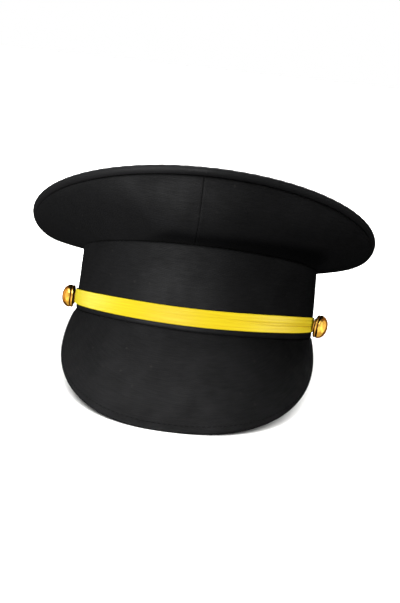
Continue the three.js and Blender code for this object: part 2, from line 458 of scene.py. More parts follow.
def new_material(name: str) -> tuple[bpy.types.Material, bpy.types.NodeTree, bpy.types.Node]:
    """Starts a material that has only a surface shader and its output.

    Args:
        name: Name of the material.

    Returns:
        The material, its node tree and its surface shader.
    """
    material = bpy.data.materials.new(name)
    material.use_nodes = True
    tree = material.node_tree
    tree.nodes.clear()
    shader = add_node(tree, "ShaderNodeBsdfPrincipled")
    add_node(tree, "ShaderNodeOutputMaterial", {"Surface": shader.outputs[0]})
    return material, tree, shader


def scaled_sum(tree: bpy.types.NodeTree, base: Any, parts: Iterable[tuple[Any, float]]) -> Any:
    """Adds patterns about a base value, each measured from its own middle.

    Args:
        tree: The node tree.
        base: The value where every pattern is at its middle.
        parts: Each pattern's output and the height that it adds.

    Returns:
        The output that holds the sum.
    """
    total = base
    for output, amount in parts:
        terms = {0: output, 1: amount, 2: -0.5 * amount}
        part = add_node(tree, "ShaderNodeMath", terms, operation="MULTIPLY_ADD").outputs[0]
        total = add_node(tree, "ShaderNodeMath", {0: part, 1: total}, operation="ADD").outputs[0]
    return total


def layered_colour(tree: bpy.types.NodeTree, base: str, layers: Iterable[tuple[Any, str]]) -> Any:
    """Lays colours over a base colour, one after another.

    Args:
        tree: The node tree.
        base: The colour below them, in hex.
        layers: Each layer's share, as an output, and its colour in hex.

    Returns:
        The output that holds the mixed colour.
    """
    mixed = linear(base)
    for share, colour in layers:
        mixed = add_node(tree, "ShaderNodeMix", {
            "Factor": share, "A": mixed, "B": linear(colour),
        }, data_type="RGBA", clamp_factor=True).outputs["Result"]
    return mixed


class Grain(Enum):
    """How the twill of the wool runs on a piece, in degrees from the piece's length."""

    STRAIGHT = 63.0
    BIAS = 18.0


@dataclass(frozen=True)
class MilledWool:
    """Black wool barathea, milled and lightly worn: a matt nap over a fine twill.

    To the eye it is almost black face on, greyer where its nap catches the light, and it carries
    a few pale flecks of lint and short darker slubs. Patterns finer than a millimetre on the real
    cloth are drawn at about a millimetre, so that they show.

    Attributes:
        deep: Colour between the threads.
        nap: Colour of the raised nap.
        lint: Colour of a fleck of lint.
        painted_crease_shade: Painted shade down in the crease over the band.
        crease: Strength of that painted shade.
        pressed: How much smoother the nap is there.
        rim: Colour of the nap on the rubbed rim, lighter partly for wear and partly as a painted highlight.
        rubbed: How much smoother the nap is there.
        twill_mm: Spacing of the twill lines, twice the real one.
        nap_mm: Size of the tufts of nap.
        slub_mm: Length and width of a slub.
        mottle_mm: Size of the soft patches of tone.
        lint_mm: Spacing of the lint.
        roughness: Surface roughness in the middle of the nap.
        specular: Reflection level of the fibres.
    """

    deep: str = "#0e0e0f"
    nap: str = "#1c1c1d"
    lint: str = "#262524"
    painted_crease_shade: str = "#070708"
    crease: float = 0.9
    pressed: float = 0.22
    rim: str = "#232324"
    rubbed: float = 0.13
    twill_mm: float = 1.3
    nap_mm: float = 1.1
    slub_mm: tuple[float, float] = (9.0, 1.1)
    mottle_mm: float = 20.0
    lint_mm: float = 9.0
    roughness: float = 0.7
    specular: float = 0.25

    def material(self, grain: Grain) -> bpy.types.Material:
        """Builds the cloth, which reads the crease and rub attributes of its piece: it paints shade into the
        crease and paints the rubbed rim lighter, partly as a highlight.

        Args:
            grain: How the twill runs.

        Returns:
            The material.
        """
        material, tree, shader = new_material(f"milled_black_wool_{grain.name.lower()}")
        twill, nap, slub, mottle, pill = self.patterns(tree, grain)
        crease = add_node(tree, "ShaderNodeAttribute", attribute_name="crease").outputs["Fac"]
        rub_and_highlight = add_node(tree, "ShaderNodeAttribute", attribute_name="rub_and_highlight").outputs["Fac"]
        tone = scaled_sum(tree, 0.5, [(nap, 0.9), (slub, 0.9), (mottle, 1.6), (twill, 0.2)])
        # The crease mark paints shade into the colour down in the fold over the band.
        shaded = add_node(tree, "ShaderNodeMath", {0: crease, 1: self.crease}, operation="MULTIPLY")
        # The rub mark paints the rim lighter, partly for wear and partly as a painted highlight.
        colour = layered_colour(tree, self.deep, [
            (tone, self.nap), (pill, self.lint), (shaded.outputs[0], self.painted_crease_shade), (rub_and_highlight, self.rim),
        ])
        tree.links.new(colour, shader.inputs["Base Color"])
        smoothed = self.roughness
        for share, amount in ((rub_and_highlight, -self.rubbed), (crease, -self.pressed)):
            terms = {0: share, 1: amount, 2: smoothed}
            smoothed = add_node(tree, "ShaderNodeMath", terms, operation="MULTIPLY_ADD").outputs[0]
        rough = scaled_sum(tree, smoothed, [(nap, 0.16), (mottle, -0.3), (slub, -0.2)])
        tree.links.new(rough, shader.inputs["Roughness"])
        relief = scaled_sum(tree, 0.5, [(twill, 0.3), (nap, 1.0), (slub, 0.8), (pill, 1.3)])
        bump = add_node(tree, "ShaderNodeBump", {"Height": relief, "Strength": 0.45, "Distance": 0.25 * MM})
        tree.links.new(bump.outputs[0], shader.inputs["Normal"])
        shader.inputs["IOR"].default_value = 1.5
        shader.inputs["Specular IOR Level"].default_value = self.specular
        return material

    def patterns(self, tree: bpy.types.NodeTree, grain: Grain) -> tuple[Any, ...]:
        """Lays the patterns that the colour, the roughness and the relief share.

        Args:
            tree: The node tree.
            grain: How the twill runs.

        Returns:
            The outputs of the twill, the nap, the slubs, the mottle and the pills.
        """
        place = add_node(tree, "ShaderNodeTexCoord").outputs["Object"]
        flat = add_node(tree, "ShaderNodeUVMap", uv_map=CLOTH_MAP).outputs["UV"]
        turned = add_node(tree, "ShaderNodeMapping", {
            "Vector": flat, "Rotation": (0.0, 0.0, math.radians(grain.value)),
        })
        twill = add_node(tree, "ShaderNodeTexWave", {
            "Vector": turned.outputs[0], "Scale": WAVE_LENGTH / (self.twill_mm * MM),
            "Distortion": 1.6, "Detail": 2.0, "Detail Scale": 1.5,
        })
        nap = add_node(tree, "ShaderNodeTexNoise", {
            "Vector": place, "Scale": 1.0 / (self.nap_mm * MM), "Detail": 4.0, "Roughness": 0.65,
        })
        long, wide = self.slub_mm
        drawn = add_node(tree, "ShaderNodeMapping", {
            "Vector": flat, "Scale": (1 / (long * MM), 1 / (wide * MM), 1.0),
        })
        slub = add_node(tree, "ShaderNodeTexNoise", {
            "Vector": drawn.outputs[0], "Scale": 1.0, "Detail": 2.0,
        })
        mottle = add_node(tree, "ShaderNodeTexNoise", {
            "Vector": place, "Scale": 1.0 / (self.mottle_mm * MM), "Detail": 3.0, "Roughness": 0.55,
        })
        pill = self.pills(tree, place)
        return twill.outputs[1], nap.outputs[0], slub.outputs[0], mottle.outputs[0], pill

    def pills(self, tree: bpy.types.NodeTree, place: Any) -> Any:
        """Scatters sparse pills and flecks of lint.

        Args:
            tree: The node tree.
            place: The coordinates.

        Returns:
            The output that is 1 on a pill and 0 beside it.
        """
        cells = add_node(tree, "ShaderNodeTexVoronoi", {
            "Vector": place, "Scale": 1.0 / (self.lint_mm * MM),
        })
        near = add_node(tree, "ShaderNodeMapRange", {
            "Value": cells.outputs["Distance"], "From Min": 0.13, "From Max": 0.02,
        })
        pick = add_node(tree, "ShaderNodeSeparateColor", {"Color": cells.outputs["Color"]})
        chosen = add_node(tree, "ShaderNodeMath", {0: pick.outputs[0], 1: 0.55}, operation="GREATER_THAN")
        return add_node(tree, "ShaderNodeMath", {
            0: near.outputs[0], 1: chosen.outputs[0],
        }, operation="MULTIPLY").outputs[0]


@dataclass(frozen=True)
class GoldRibbon:
    """Yellow-gold satin ribbon: smooth lengthwise floats, lemon where it shines.

    To the eye it is a warm yellow with long soft streaks, and painted shade makes it deeper gold down in its
    pleats.

    Attributes:
        bright: Colour of the floats.
        deep: Colour of the streaks between them.
        fold: Painted shade down in a pleat.
        float_mm: Length and width of a streak.
        thread_mm: Spacing of the lengthwise threads, drawn about three times the real one.
        roughness: Surface roughness of the floats.
    """

    bright: str = "#e6d022"
    deep: str = "#ddb918"
    fold: str = "#b88a08"
    float_mm: tuple[float, float] = (26.0, 0.9)
    thread_mm: float = 0.9
    roughness: float = 0.42

    def material(self) -> bpy.types.Material:
        """Builds the ribbon's finish, which reads the pleat attribute of its piece to paint shade into its
        pleats.

        Returns:
            The material.
        """
        material, tree, shader = new_material("gold_satin_ribbon")
        flat = add_node(tree, "ShaderNodeUVMap", uv_map=CLOTH_MAP).outputs["UV"]
        pleat = add_node(tree, "ShaderNodeAttribute", attribute_name="pleat").outputs["Fac"]
        long, wide = self.float_mm
        drawn = add_node(tree, "ShaderNodeMapping", {
            "Vector": flat, "Scale": (1 / (long * MM), 1 / (wide * MM), 1.0),
        })
        streak = add_node(tree, "ShaderNodeTexNoise", {
            "Vector": drawn.outputs[0], "Scale": 1.0, "Detail": 3.0,
        }).outputs[0]
        thread = add_node(tree, "ShaderNodeTexWave", {
            "Vector": flat, "Scale": WAVE_LENGTH / (self.thread_mm * MM), "Distortion": 0.6,
        }, bands_direction="Y").outputs[1]
        shade = scaled_sum(tree, 0.4, [(streak, 1.5), (thread, 0.15)])
        # The pleat mark paints shade into the colour down in the pleats.
        colour = layered_colour(tree, self.bright, [(shade, self.deep), (pleat, self.fold)])
        tree.links.new(colour, shader.inputs["Base Color"])
        tree.links.new(scaled_sum(tree, self.roughness, [(streak, 0.2)]), shader.inputs["Roughness"])
        relief = scaled_sum(tree, 0.5, [(thread, 0.5), (streak, 0.9)])
        bump = add_node(tree, "ShaderNodeBump", {"Height": relief, "Strength": 0.4, "Distance": 0.15 * MM})
        tree.links.new(bump.outputs[0], shader.inputs["Normal"])
        shader.inputs["IOR"].default_value = 1.5
        shader.inputs["Specular IOR Level"].default_value = 0.15
        return material


@dataclass(frozen=True)
class GiltBrass:
    """Stamped brass, gilded and polished, with tarnish left in the crimp round its back.

    To the eye it is a deep amber mirror that pales to straw where the light strikes it.

    Attributes:
        gilt: Colour of the clean gilding.
        worn: Colour of slightly rubbed gilding.
        tarnish: Colour in the crimp.
        cloud_mm: Size of the rubbed patches.
        scratch_mm: Length of the fine scratches.
        roughness: Roughness of the polish.
    """

    gilt: str = "#e8c060"
    worn: str = "#d49c3a"
    tarnish: str = "#a4642c"
    cloud_mm: float = 4.0
    scratch_mm: float = 0.7
    roughness: float = 0.33

    def material(self) -> bpy.types.Material:
        """Builds the metal, which reads the tarnish attribute of its piece.

        Returns:
            The material.
        """
        material, tree, shader = new_material("polished_gilt_brass")
        place = add_node(tree, "ShaderNodeTexCoord").outputs["Object"]
        crimp = add_node(tree, "ShaderNodeAttribute", attribute_name="tarnish").outputs["Fac"]
        cloud = add_node(tree, "ShaderNodeTexNoise", {
            "Vector": place, "Scale": 1.0 / (self.cloud_mm * MM), "Detail": 3.0,
        }).outputs[0]
        scratch = add_node(tree, "ShaderNodeTexNoise", {
            "Vector": place, "Scale": 1.0 / (self.scratch_mm * MM), "Detail": 4.0,
        }).outputs[0]
        colour = layered_colour(tree, self.gilt, [(cloud, self.worn), (crimp, self.tarnish)])
        tree.links.new(colour, shader.inputs["Base Color"])
        rough = scaled_sum(tree, self.roughness, [(cloud, 0.1), (scratch, 0.08), (crimp, 0.3)])
        tree.links.new(rough, shader.inputs["Roughness"])
        bump = add_node(tree, "ShaderNodeBump", {"Height": scratch, "Strength": 0.08, "Distance": 0.05 * MM})
        tree.links.new(bump.outputs[0], shader.inputs["Normal"])
        shader.inputs["Metallic"].default_value = 1.0
        return material


@dataclass(frozen=True)
class SewingThread:
    """Black mercerised sewing thread: two plies with a slight shine over the matt wool.

    Attributes:
        colour: Colour of the thread.
        ply_mm: Length of one turn of the plies.
        roughness: Surface roughness.
    """

    colour: str = "#0d0d0e"
    ply_mm: float = 0.6
    roughness: float = 0.75

    def material(self) -> bpy.types.Material:
        """Builds the thread's finish.

        Returns:
            The material.
        """
        material, tree, shader = new_material("black_sewing_thread")
        place = add_node(tree, "ShaderNodeTexCoord").outputs["Object"]
        ply = add_node(tree, "ShaderNodeTexWave", {
            "Vector": place, "Scale": WAVE_LENGTH / (self.ply_mm * MM),
        }, bands_direction="DIAGONAL").outputs[1]
        bump = add_node(tree, "ShaderNodeBump", {"Height": ply, "Strength": 0.3, "Distance": 0.05 * MM})
        tree.links.new(bump.outputs[0], shader.inputs["Normal"])
        shader.inputs["Base Color"].default_value = linear(self.colour)
        shader.inputs["Roughness"].default_value = self.roughness
        shader.inputs["Specular IOR Level"].default_value = 0.15
        return material


@dataclass
class Workroom:
    """What every piece is made with: the block, the stance and the finishes.

    Attributes:
        form: The block of the cap.
        peak: The board of the peak.
        stance: How the cap stands.
        wool: Material of the straight-cut wool.
        bias_wool: Material of the wool that is cut on the bias.
        ribbon: Material of the chin strap.
        gilt: Material of the buttons.
        thread: Material of the stitches.
    """

    form: CapForm
    peak: PeakForm
    stance: Stance
    wool: bpy.types.Material
    bias_wool: bpy.types.Material
    ribbon: bpy.types.Material
    gilt: bpy.types.Material
    thread: bpy.types.Material

    def make_object(
        self,
        name: str,
        points: np.ndarray,
        faces: np.ndarray,
        material: bpy.types.Material,
        flat: Optional[np.ndarray] = None,
        marks: Optional[dict[str, np.ndarray]] = None,
    ) -> bpy.types.Object:
        """Makes one closed piece from points in the cap's frame, pressed flat on the floor.

        Args:
            name: Name of the piece.
            points: Points in millimetres.
            faces: Corners of the four-sided faces, facing out.
            material: Finish of the piece.
            flat: Cloth coordinates in millimetres for each corner of each face.
            marks: Values for each point, by attribute name.

        Returns:
            The object, at the origin, with its place in its mesh.
        """
        placed = self.stance.place(points)
        placed[:, 2] = np.maximum(placed[:, 2], 0.0)
        mesh = bpy.data.meshes.new(name)
        mesh.from_pydata(placed.tolist(), [], faces.tolist())
        if flat is not None:
            layer = mesh.uv_layers.new(name=CLOTH_MAP)
            layer.data.foreach_set("uv", (flat.reshape(-1) * MM).astype(np.float32))
        for mark, values in (marks or {}).items():
            attribute = mesh.attributes.new(mark, "FLOAT", "POINT")
            attribute.data.foreach_set("value", values.reshape(-1).astype(np.float32))
        solid = bmesh.new()
        solid.from_mesh(mesh)
        bmesh.ops.remove_doubles(solid, verts=solid.verts, dist=1e-6)
        solid.to_mesh(mesh)
        solid.free()
        mesh.shade_smooth()
        mesh.materials.append(material)
        return add_object(name, mesh)


def grid_faces(rows: int, columns: int, closed: bool) -> tuple[np.ndarray, np.ndarray]:
    """Lists the faces of a grid whose showing side has rows upwards and columns to its left.

    Args:
        rows: Number of rows of points.
        columns: Number of columns of points.
        closed: Whether the last column meets the first.

    Returns:
        The points of each face, and the row and column of each corner before any wrap.
    """
    across = np.arange(rows - 1)[:, None]
    round_ = np.arange(columns if closed else columns - 1)[None]
    corners = [(0, 0), (0, 1), (1, 1), (1, 0)]
    places = np.stack([
        np.stack(np.broadcast_arrays(across + di, round_ + dj), axis=-1) for di, dj in corners
    ], axis=2).reshape(-1, 4, 2)
    return places[..., 0] * columns + places[..., 1] % columns, places


@dataclass
class ClothWall:
    """A wall of cloth, given by the side that shows as a grid of points in millimetres.

    Attributes:
        face: The showing side, as rows, columns and coordinates.
        thickness: Thickness of the cloth.
        fold: Share of the thickness at each point, 0 at a free edge.
        lift: How far the whole cloth is raised at each point.
        closed: Whether the last column meets the first.
    """

    face: np.ndarray
    thickness: float
    fold: np.ndarray
    lift: Any = 0.0
    closed: bool = False

    def outward(self) -> np.ndarray:
        """Works out which way the showing side faces.

        Returns:
            A unit normal for each point.
        """
        across = np.gradient(self.face, axis=0)
        if self.closed:
            round_ = np.roll(self.face, -1, axis=1) - np.roll(self.face, 1, axis=1)
        else:
            round_ = np.gradient(self.face, axis=1)
        normal = np.cross(round_, across)
        return normal / np.linalg.norm(normal, axis=-1, keepdims=True)

    def flat_coordinates(self) -> np.ndarray:
        """Measures the cloth as if it lay flat.

        Returns:
            Lengths round and across it, with a last column where it closes.
        """
        face = np.concatenate([self.face, self.face[:, :1]], axis=1) if self.closed else self.face
        steps_round = np.linalg.norm(np.diff(face, axis=1), axis=-1).mean(axis=0)
        round_ = np.concatenate([[0.0], np.cumsum(steps_round)])
        steps_across = np.linalg.norm(np.diff(face, axis=0), axis=-1)
        across = np.concatenate([np.zeros((1, face.shape[1])), np.cumsum(steps_across, axis=0)])
        return np.stack(np.broadcast_arrays(round_[None], across), axis=-1)

    def cut_size(self) -> tuple[float, float, float]:
        """Measures what the cloth is cut to.

        Returns:
            The width, the length and the area.
        """
        across = np.linalg.norm(np.diff(self.face, axis=0), axis=-1)
        along = np.linalg.norm(np.diff(self.face, axis=1), axis=-1)
        cells = 0.5 * (across[:, 1:] + across[:, :-1]) * 0.5 * (along[1:] + along[:-1])
        wide = self.flat_coordinates()[..., 1].max()
        return float(wide), float(along.sum(axis=1).max()), float(cells.sum())

    def build(
        self,
        room: Workroom,
        name: str,
        material: bpy.types.Material,
        marks: Optional[dict[str, np.ndarray]] = None,
    ) -> bpy.types.Object:
        """Makes the wall as one closed piece.

        Args:
            room: What the piece is made with.
            name: Name of the piece.
            material: Finish of the piece.
            marks: Values for each point of the grid, by attribute name.

        Returns:
            The piece.
        """
        half = 0.5 * self.thickness
        normal = self.outward()
        middle = self.face + normal * np.broadcast_to(self.lift - half, self.fold.shape)[..., None]
        reach = normal * (half * self.fold)[..., None]
        rows, columns = self.face.shape[:2]
        faces, places = grid_faces(rows, columns, self.closed)
        flat = self.flat_coordinates()[places[..., 0], places[..., 1]]
        points = np.concatenate([(middle + reach).reshape(-1, 3), (middle - reach).reshape(-1, 3)])
        both = np.concatenate([faces, faces[:, ::-1] + rows * columns])
        laid = np.concatenate([flat, flat[:, ::-1]])
        doubled = {mark: np.tile(values.reshape(-1), 2) for mark, values in (marks or {}).items()}
        return room.make_object(name, points, both, material, laid, doubled)


def finish_piece(piece: bpy.types.Object, node: Optional[str], slot: str) -> None:
    """Puts a piece on the cap's body in place of its node, and logs the name of its finish slot.

    Args:
        piece: The piece.
        node: Name of the node that it stands for, if there is one.
        slot: Name of the slot.
    """
    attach(piece, BODY)
    if node:
        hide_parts(node)
    log.info("%s: %d faces, in %s", piece.name, len(piece.data.polygons), slot)


@dataclass
class Band:
    """The upright band round the head, closed by one seam behind.

    Attributes:
        room: What the piece is made with.
        depth: Depth from edge to edge.
        fold: Radius of its rounded upper and lower edges.
        inset: How far the cloth lies in, so that its waves stay about the wall.
        columns: Columns of points round the band.
        seam_depth: Depth of the seam behind.
        seam_width: Half width of the seam behind.
        seam_zone: Half of the angle there with closer columns, in radians.
        lap: How far the lapped end stands proud at that seam.
        lap_step: Width over which it steps up.
        lap_width: How far from the seam it fades.
        ripple: Height of the slow waves that the cloth has along the band.
        ridge: Height of the faint upright ridge in front.
        ridge_angle: Where the ridge is, in radians to the wearer's left of the middle.
        ridge_width: Half width of the ridge.
        ridge_foot: Height above the band's lower edge at which the ridge starts.
    """

    room: Workroom
    depth: float = 48.0
    fold: float = 1.5
    inset: float = 0.15
    columns: int = 420
    seam_depth: float = 0.7
    seam_width: float = 0.8
    seam_zone: float = 0.035
    lap: float = 0.25
    lap_step: float = 1.5
    lap_width: float = 9.0
    ripple: float = 0.22
    ridge: float = 0.8
    ridge_angle: float = 0.22
    ridge_width: float = 10.0
    ridge_foot: float = 17.0

    def angles(self) -> np.ndarray:
        """Spaces the columns, closer together at the seam behind.

        Returns:
            Their angles, in radians.
        """
        even = np.linspace(0.0, 2.0 * math.pi, self.columns, endpoint=False)
        near = math.pi + np.linspace(-self.seam_zone, self.seam_zone, 29)
        apart = even[np.abs(even - math.pi) > self.seam_zone + 0.002]
        return np.sort(np.concatenate([apart, near]))

    def build(self) -> bpy.types.Object:
        """Makes the band.

        Returns:
            The piece.
        """
        form = self.room.form
        angles = self.angles()
        shares = folded_shares(self.depth, self.fold, 5, 24)
        heights = lerp(form.band_bottom(angles)[None], form.band_top(angles)[None], shares[:, None])
        behind = (angles - math.pi)[None] * form.band.half_width
        seam = self.seam_depth * bell(behind, self.seam_width)
        lap = self.lap * smooth(behind / self.lap_step + 0.5) * bell(behind, self.lap_width)
        waves = self.ripple * (np.sin(5 * angles + 0.4) + 0.6 * np.sin(9 * angles + 2.1))[None]
        above = smooth((heights - self.ridge_foot) / 8.0)
        from_ridge = (angles - self.ridge_angle) * form.band.half_width
        waves = waves + self.ridge * above * bell(from_ridge, self.ridge_width)[None]
        sag = np.sin(math.pi * shares)[:, None]
        lift = waves * sag - seam + lap - self.inset
        face = form.band_point(angles[None], 0.0, heights)
        fold = fold_profile(shares, self.depth, self.fold)[:, None] * np.ones_like(angles)[None]
        wall = ClothWall(face, form.wall, fold, lift, closed=True)
        piece = wall.build(self.room, "band_cloth", self.room.wool)
        finish_piece(piece, "band", "black_wool")
        return piece


@dataclass(frozen=True)
class QuarterCut:
    """How one quarter of the crown is cut: its node and its two seams.

    Attributes:
        node: Name of the node that it stands for.
        start: Seam where it starts, in degrees from the front.
        end: Seam where it ends, in degrees from the front.
    """

    node: str
    start: float
    end: float


@dataclass
class CrownQuarter:
    """One of the four quarters that swell from the band out to the rim.

    Attributes:
        room: What the piece is made with.
        cut: How it is cut.
        cloth: Thickness of the cloth.
        depth: Width of the cloth from the hem to the rim seam.
        fold: Radius of its upper and lower edges, where they turn into the seams.
        seam_fold: Radius of the edges that meet the next quarters.
        seam_gap: Air between those edges.
        swell_front: Fullness in front.
        swell_left: Fullness at the wearer's left.
        swell_rear: Fullness behind.
        swell_right: Fullness at the wearer's right.
        recess: How far the cloth is tucked in at the band's upper edge.
        hem: How far its edge hangs down inside the band.
        pucker: Depth of the puckers along the rim seam.
        pucker_mm: Spacing of the puckers.
        pucker_reach: How far from that seam they fade.
        ripple: Height of the slow waves in the stretched cloth.
        ridge: Height of the ridge that the cloth makes along the front seam.
        ridge_width: How far from that seam it fades.
        squareness: How much squarer the swell is where the cloth hangs over the band in front.
        hang_start: Where it starts to hang over, in degrees from the front.
        hang_growth: Over how many degrees that sets in.
        hang_end: Where it no longer hangs over.
        hang_fade: Over how many degrees it stops.
        crease_least: How far up from the band the crease reaches where it is faintest.
        crease_more: How much farther it reaches where it is deepest.
        crease_fade: Over how many millimetres it ends.
        ease_in: How much flatter the swell is beside that, on the wearer's right.
        ease_angle: Middle of that flatter place, in degrees.
        ease_width: Half width of that place, in degrees.
    """

    room: Workroom
    cut: QuarterCut
    cloth: float = 2.0
    depth: float = 45.0
    fold: float = 1.0
    seam_fold: float = 0.18
    seam_gap: float = 0.04
    swell_front: float = 0.9
    swell_left: float = 0.1
    swell_rear: float = 0.6
    swell_right: float = 0.4
    recess: float = 0.7
    hem: float = 1.8
    pucker: float = 0.05
    pucker_mm: float = 6.5
    pucker_reach: float = 5.0
    ripple: float = 0.45
    ridge: float = 1.2
    ridge_width: float = 10.0
    squareness: float = 0.22
    hang_start: float = -30.0
    hang_growth: float = 22.0
    hang_end: float = 88.0
    hang_fade: float = 40.0
    crease_least: float = 8.0
    crease_more: float = 22.0
    crease_fade: float = 12.0
    ease_in: float = 0.4
    ease_angle: float = -44.0
    ease_width: float = 22.0

    def fullness(self, angle: np.ndarray) -> np.ndarray:
        """Works out the swell round the cap.

        Args:
            angle: Angles from the middle of the front, in radians.

        Returns:
            The fullness at each of them.
        """
        lengthwise = np.where(np.cos(angle) > 0.0, self.swell_front, self.swell_rear)
        sideways = np.where(np.sin(angle) > 0.0, self.swell_left, self.swell_right)
        even = lerp(lengthwise, sideways, np.sin(angle) ** 2)
        return even - self.ease_in * bell(np.degrees(angle) - self.ease_angle, self.ease_width)

    def overhang(self, angle: np.ndarray) -> np.ndarray:
        """Works out how much the cloth hangs over the band.

        Args:
            angle: Angles from the middle of the front, in radians.

        Returns:
            The share at each of them, from 0 to 1.
        """
        degrees = np.degrees(angle)
        started = smooth((degrees - self.hang_start) / self.hang_growth)
        return started * smooth((self.hang_end - degrees) / self.hang_fade)

    def section(self, angle: np.ndarray) -> np.ndarray:
        """Returns closely spaced sections, from the hem inside the band out to the rim seam.

        Args:
            angle: Angles of the sections.

        Returns:
            Points as rows, columns and coordinates.
        """
        form = self.room.form
        seat = form.band_top(angle) + 0.2 * form.gap
        hem = form.band_point(angle, -form.wall - form.gap, seat - self.hem)
        inner = form.band_point(angle, -form.wall - form.gap, seat)
        root = form.band_point(angle, -self.recess, seat)
        edge = form.rim_point(angle, 0.0, 0.0)
        turn = np.linspace(0.0, math.pi / 2, 81)[:, None]
        power = 1.0 - self.squareness * self.overhang(angle)[None]
        out = np.sin(turn) ** power
        up = lerp(np.sin(turn), 1.0 - np.abs(np.cos(turn)) ** power, self.fullness(angle)[None])
        swell = [lerp(root[None, :, k], edge[None, :, k], up if k == 2 else out) for k in range(3)]
        hung = lerp(hem[None], inner[None], np.linspace(0.0, 1.0, 5)[:-1, None, None])
        seated = lerp(inner[None], root[None], np.linspace(0.0, 1.0, 6)[:-1, None, None])
        return np.concatenate([hung, seated, np.stack(swell, axis=-1)])

    def face(self, angle: np.ndarray, shares: np.ndarray) -> np.ndarray:
        """Returns the showing side at shares of each section's length."""
        sections = self.section(angle)
        return np.stack([spread(sections[:, j], shares) for j in range(len(angle))], axis=1)

    def relief(self, angle: np.ndarray, along: np.ndarray, shares: np.ndarray) -> np.ndarray:
        """Works out the puckers at the rim, the slow waves and the ridge at the front seam.

        Args:
            angle: Angles of the columns.
            along: Each column's share of the way round, and its length, in two rows.
            shares: Shares of the depth at the rows.

        Returns:
            How far the cloth is raised, as rows and columns.
        """
        round_shares, lengths = along[:1], along[1:]
        up = shares[:, None]
        to_rim = (1.0 - up) * self.depth
        puckers = self.pucker * np.sin(2 * math.pi * lengths / self.pucker_mm)
        puckers = puckers * bell(to_rim, self.pucker_reach)
        phase = self.cut.start / 40.0
        slow = np.sin(lengths / 11.0 + phase + 1.6 * up)
        slow = slow + 0.7 * np.sin(lengths / 6.5 + 2.0 * phase - 2.5 * up)
        tight = np.sin(math.pi * up) * np.sin(math.pi * round_shares) ** 0.5
        waves = self.ripple * 0.5 * slow * tight
        from_seam = np.abs(angle - math.radians(FRONT_SEAM))[None] * self.room.form.rim.half_width
        ridge = self.ridge * np.exp(-from_seam / self.ridge_width) * np.sin(math.pi * up)
        return puckers + waves + ridge

    def creases(self, angle: np.ndarray, face: np.ndarray) -> np.ndarray:
        """Works out how deep in the fold over the band the cloth lies, where the wool is painted with shade.

        Args:
            angle: Angles of the columns.
            face: The showing side, as rows, columns and coordinates.

        Returns:
            The depth at each point, from 0 to 1.
        """
        steps = np.linalg.norm(np.diff(face, axis=0), axis=-1)
        from_band = np.concatenate([np.zeros((1, len(angle))), steps]).cumsum(axis=0)
        hang = self.overhang(angle)[None]
        reach = self.crease_least + self.crease_more * hang
        return hang * smooth((reach - from_band) / self.crease_fade)

    def build(self) -> bpy.types.Object:
        """Makes the quarter and measures what its cloth is cut to.

        Returns:
            The piece.
        """
        rim = self.room.form.rim
        ease = self.seam_gap / 2 / rim.half_width
        start, end = math.radians(self.cut.start) + ease, math.radians(self.cut.end) - ease
        long = (end - start) * 0.5 * (rim.half_width + rim.half_length)
        round_shares = folded_shares(long, self.seam_fold, 4, 150)
        shares = folded_shares(self.depth, self.fold, 5, 46)
        angle = lerp(start, end, round_shares)
        face = self.face(angle, shares)
        turned = fold_profile(round_shares, long, self.seam_fold)[None]
        fold = fold_profile(shares, self.depth, self.fold)[:, None] * turned
        lift = self.relief(angle, np.stack([round_shares, round_shares * long]), shares)
        wall = ClothWall(face, self.cloth, fold, lift)
        # The crease mark paints shade into the wool's colour in the fold over the band.
        marks = {"crease": self.creases(angle, face)}
        piece = wall.build(self.room, f"{self.cut.node}_cloth", self.room.wool, marks)
        finish_piece(piece, self.cut.node, "black_wool")
        wide, long, area = wall.cut_size()
        return piece


